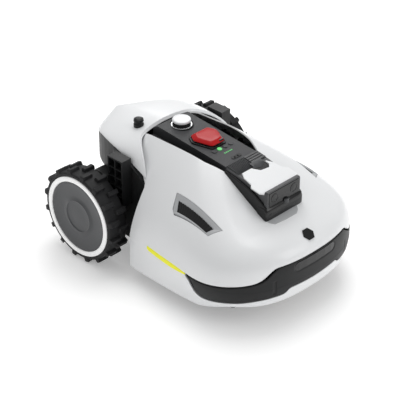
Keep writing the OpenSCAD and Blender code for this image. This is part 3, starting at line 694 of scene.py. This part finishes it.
# Window: gloss pane in a frame whose top strip stands above the plate
FRAME = [(-45.5, 204), (-45.5, 233), (-43.5, 236.5), (43.5, 236.5), (45.5, 233), (45.5, 204)]
loft("pod_window_frame", [[(x * k, y, 220 + (z - 220) * k) for x, z in FRAME]
                          for y, k in ((-177.5, 1.0), (-184, 1.0), (-185, 0.975))],
     "chassis", "black_body", look="pod_grey", angle=30)
PANE = [(-40.5, 206.5), (-40.5, 232.5), (-39.5, 233.5), (39.5, 233.5), (40.5, 232.5), (40.5, 206.5),
        (39.5, 205.5), (-39.5, 205.5)]
loft("pod_window_pane", [[(x * k, y, 219.5 + (z - 219.5) * k) for x, z in PANE]
                         for y, k in ((-184.4, 1.0), (-185.6, 1.0), (-185.9, 0.99))],
     "chassis", "gloss_black", replaces=("camera_window",), angle=30)
for x, name in ((-26, "left"), (26, "right")):
    rings = []
    for r, y in ((9.5, -185.7), (9.5, -186.3), (8.2, -186.5), (7.4, -185.95), (3.2, -186.2), (0.4, -186.3)):
        rings.append([(x + r * math.cos(math.tau * q / 40), y, 220 + r * math.sin(math.tau * q / 40))
                      for q in range(40)])
    loft("lens_ring_" + name, rings, "chassis", "gloss_black", angle=30)

# Chin under the window, with rounded ends and a round sensor on its step
chin = []
for z, reach, half in ((168, 0.0, 49), (174, 5.5, 50.5), (182, 7.5, 51), (194, 7.5, 51), (201, 6.0, 50),
                       (205.5, 2.5, 48), (206, 1.0, 47)):
    loop = [(-half, -166, z)]
    for q in range(17):
        a = math.pi * q / 16
        loop.append((-half * math.copysign(abs(math.cos(a)) ** 0.22, math.cos(a)),
                     -182 - reach * math.sin(a) ** 0.5, z))
    loop.append((half, -166, z))
    chin.append(loop)
loft("pod_chin", chin, "chassis", "black_body", look="gloss_black", replaces=("camera_chin",), angle=35)
eye = []
for r, up in ((6.4, 198), (6.4, 205.4), (5.4, 206.6), (4.6, 206.6), (4.0, 205.9), (0.4, 206.2)):
    eye.append([(5 + r * math.cos(math.tau * q / 36), -186.5 + 0.75 * r * math.sin(math.tau * q / 36), up)
                for q in range(36)])
loft("chin_sensor", eye, "chassis", "black_body", look="cap_grey", angle=30)

# Painted shade: a grey sheet laid on the cover where it drops away in front of the chin
CHIN_SHADE_PLAN = [(-51, -181), (-46, -192), (-38, -199.5), (-10, -202), (19, -202), (29, -196), (33, -189),
         (33, -181)]
slab("chin_painted_shade", CHIN_SHADE_PLAN, lambda y: crest(y) - 9, lambda y: crest(y) + 0.4, "chassis", "white_cover",
     look="vent_grey", edge=0.3)

# ---------------------------------------------------------------- stop button and height knob

TILT = math.radians(4.9)


def on_console(x, y, z):
    return (x, y * math.cos(TILT) - z * math.sin(TILT), 252.9 + y * math.sin(TILT) + z * math.cos(TILT))


STOP_Y = 10.5
STOP = [(-22, 26.5), (22, 26.5), (31, 10), (17, -26), (-17, -26), (-31, 10)]


def stop_loop(scale, z, steps=10):
    """Shield outline with rounded corners, scaled about its middle."""
    loop = []
    n = len(STOP)
    for i in range(n):
        a, b, c = STOP[i - 1], STOP[i], STOP[(i + 1) % n]
        p = [b[k] + (a[k] - b[k]) * 0.16 for k in (0, 1)]
        q = [b[k] + (c[k] - b[k]) * 0.16 for k in (0, 1)]
        for j in range(steps):
            t = j / (steps - 1)
            x, y = [(1 - t) ** 2 * p[k] + 2 * t * (1 - t) * b[k] + t * t * q[k] for k in (0, 1)]
            loop.append(on_console(x * scale, STOP_Y + (y - 3) * scale, z))
    return loop


loft("stop_shield", [stop_loop(0.94, 4.6), stop_loop(1.0, 5.2), stop_loop(1.0, 6.2), stop_loop(0.97, 7.2),
                     stop_loop(0.76, 11.0), stop_loop(0.73, 11.4), stop_loop(0.66, 11.0),
                     stop_loop(0.3, 11.2)],
     "stop", "stop_red", replaces=("stop_button",), angle=28)
loft("stop_collar", [stop_loop(1.12, 0.1), stop_loop(1.12, 2.4), stop_loop(1.09, 3.0),
                     stop_loop(1.05, 3.0), stop_loop(1.05, 0.1)],
     "chassis", "black_body", look="gloss_black", replaces=("stop_base",), angle=30, ring=True)
CHIP = [(4, -25), (15, -25), (22.5, -9), (17, -4), (10, -13), (3, -15)]
loft("stop_chip", [[on_console(x, STOP_Y - 3 + y, z) for x, y in CHIP] for z in (5.4, 8.2)] +
     [[on_console(13 + (x - 13) * 0.86, STOP_Y - 18 + (y + 15) * 0.86, 9.4) for x, y in CHIP]],
     "stop", "stop_red", look="gloss_black", angle=30)


def turned(name, profile, centre, body, slot, look=None, replaces=(), steps=72, ring=False):
    """Piece turned about the upright axis through centre from (radius, height) points."""
    turn = [math.tau * q / steps for q in range(steps)]
    loops = [[(centre[0] + r * math.cos(a), centre[1] + r * math.sin(a), z) for a in turn]
             for r, z in profile]
    return loft(name, loops, body, slot, look, replaces, ring=ring)


KNOB = (0, 80)
turned("knob_dish", [(23.6, 257), (23.6, 260.4), (22.6, 260.8), (21.8, 259.2), (19, 258.6), (18.4, 256)],
       KNOB, "chassis", "black_body", look="gloss_black", ring=True)
turned("knob_trim", [(18.2, 256), (21.0, 257.0), (21.2, 259.6), (20.4, 260.2), (18.2, 260.2)], KNOB,
       "chassis", "silver_trim", replaces=("knob_bezel",), ring=True)
turned("knob_top", [(16.6, 266.9), (17.9, 267.3), (18.2, 268.4), (18.2, 270.6), (17.6, 271.6),
                    (16.2, 272.2), (14.0, 272.3), (13.2, 271.7), (6, 271.5), (0.5, 271.5)], KNOB,
       "knob", "ring_white", look="white_cover", replaces=("knob_cap",))

# ---------------------------------------------------------------- tyres

AXLE_Y, AXLE_Z, LUGS = 168.0, 98.8, 16
TYRE_STEPS, HUB_STEPS = 160, 144
for side, name in ((1, "left"), (-1, "right")):
    body = name + "_wheel"

    def at_wheel(r, a, x):
        return (side * x, AXLE_Y + r * math.cos(a), AXLE_Z + r * math.sin(a))

    profile = [(84.6, 198), (88.5, 198.4), (91.5, 196.5), (92.3, 193), (92.3, 158), (91.5, 155),
               (88.5, 153.4), (84.6, 153.6)]
    n = len(profile)
    verts = [at_wheel(r, math.tau * q / TYRE_STEPS, x) for q in range(TYRE_STEPS) for r, x in profile]
    faces = []
    for i in range(TYRE_STEPS):
        after = (i + 1) % TYRE_STEPS
        faces += [(i * n + k, i * n + (k + 1) % n, after * n + (k + 1) % n, after * n + k)
                  for k in range(n)]
    for x0, x1, first in ((174, 198.2, 10.5), (152, 177, -0.7)):
        for i in range(LUGS):
            mid = math.radians(first + 360 / LUGS * i)
            base = len(verts)
            for r, half, inset in ((90.0, 0.058, 0), (97.2, 0.048, 0.4), (98.7, 0.038, 1.4)):
                for da, x in ((-half, x0 + inset), (half, x0 + inset), (half * 1.15, (x0 + x1) / 2),
                              (half, x1 - inset), (-half, x1 - inset), (-half * 0.85, (x0 + x1) / 2)):
                    verts.append(at_wheel(r, mid + da, x))
            for k in range(2):
                faces += [(base + k * 6 + q, base + k * 6 + (q + 1) % 6, base + k * 6 + 6 + (q + 1) % 6,
                           base + k * 6 + 6 + q) for q in range(6)]
            faces += [tuple(base + 12 + q for q in range(6)), tuple(base + q for q in range(6))]
    piece(name + "_tread", verts, faces, body, "tyre_rubber", replaces=(name + "_tyre",), angle=30)
    ring = [(73.6, 197.5), (74.2, 199.2), (75.4, 199.9), (82.4, 199.9), (83.6, 199.2), (84.0, 197.5)]
    hub = [(73.2, 194), (73.2, 197.8), (71.8, 198.4), (68, 197.6), (56, 196.2), (44, 195.2), (38, 195.4),
           (35.5, 196.8), (33, 197.4), (31.2, 196.0), (29.5, 195.6), (16, 196.0), (0.5, 196.2)]
    turn = [math.tau * q / HUB_STEPS for q in range(HUB_STEPS)]
    loft(name + "_trim_ring", [[at_wheel(r, a, x) for a in turn] for r, x in ring],
         body, "ring_white", replaces=(name + "_ring",), angle=40, ring=True)
    loft(name + "_hub", [[at_wheel(r, a, x) for a in turn] for r, x in hub],
         body, "cap_grey", replaces=(name + "_cap",), angle=40)

# ---------------------------------------------------------------- floor and light

bm = bmesh.new()
bmesh.ops.create_grid(bm, x_segments=24, y_segments=24, size=6.0)
floor_mesh = bpy.data.meshes.new("studio_floor")
bm.to_mesh(floor_mesh)
bm.free()
floor = bpy.data.objects.new("studio_floor", floor_mesh)
bpy.context.scene.collection.objects.link(floor)
floor.data.materials.append(finish("floor_paper", (0.97, 0.97, 0.97), 0.9, emit=0.28, tint=0.004,
                                   grain=0.02, tint_scale=2.0, bevel=0.0, spec=0.1))

world = bpy.data.worlds.new("studio")
bpy.context.scene.world = world
world.use_nodes = True
world.node_tree.nodes["Background"].inputs[0].default_value = (1, 1, 1, 1)
world.node_tree.nodes["Background"].inputs[1].default_value = 0.5


def softbox(name, at, target, size, watts):
    light = bpy.data.lights.new(name, "AREA")
    light.shape = "RECTANGLE"
    light.size, light.size_y = size
    light.energy = watts
    o = bpy.data.objects.new(name, light)
    o.location = at
    o.rotation_euler = (Vector(at) - Vector(target)).to_track_quat("Z", "Y").to_euler()
    bpy.context.scene.collection.objects.link(o)


softbox("key_box", (0.5, 0.5, 2.3), (0, 0, 0.1), (1.5, 1.5), 24)
softbox("nose_box", (0.9, -2.0, 1.1), (0, 0, 0.1), (1.0, 1.4), 9)
softbox("rim_box", (1.6, 1.5, 1.3), (0, 0, 0.15), (1.0, 1.4), 10)
bpy.context.scene.view_settings.view_transform = "Standard"
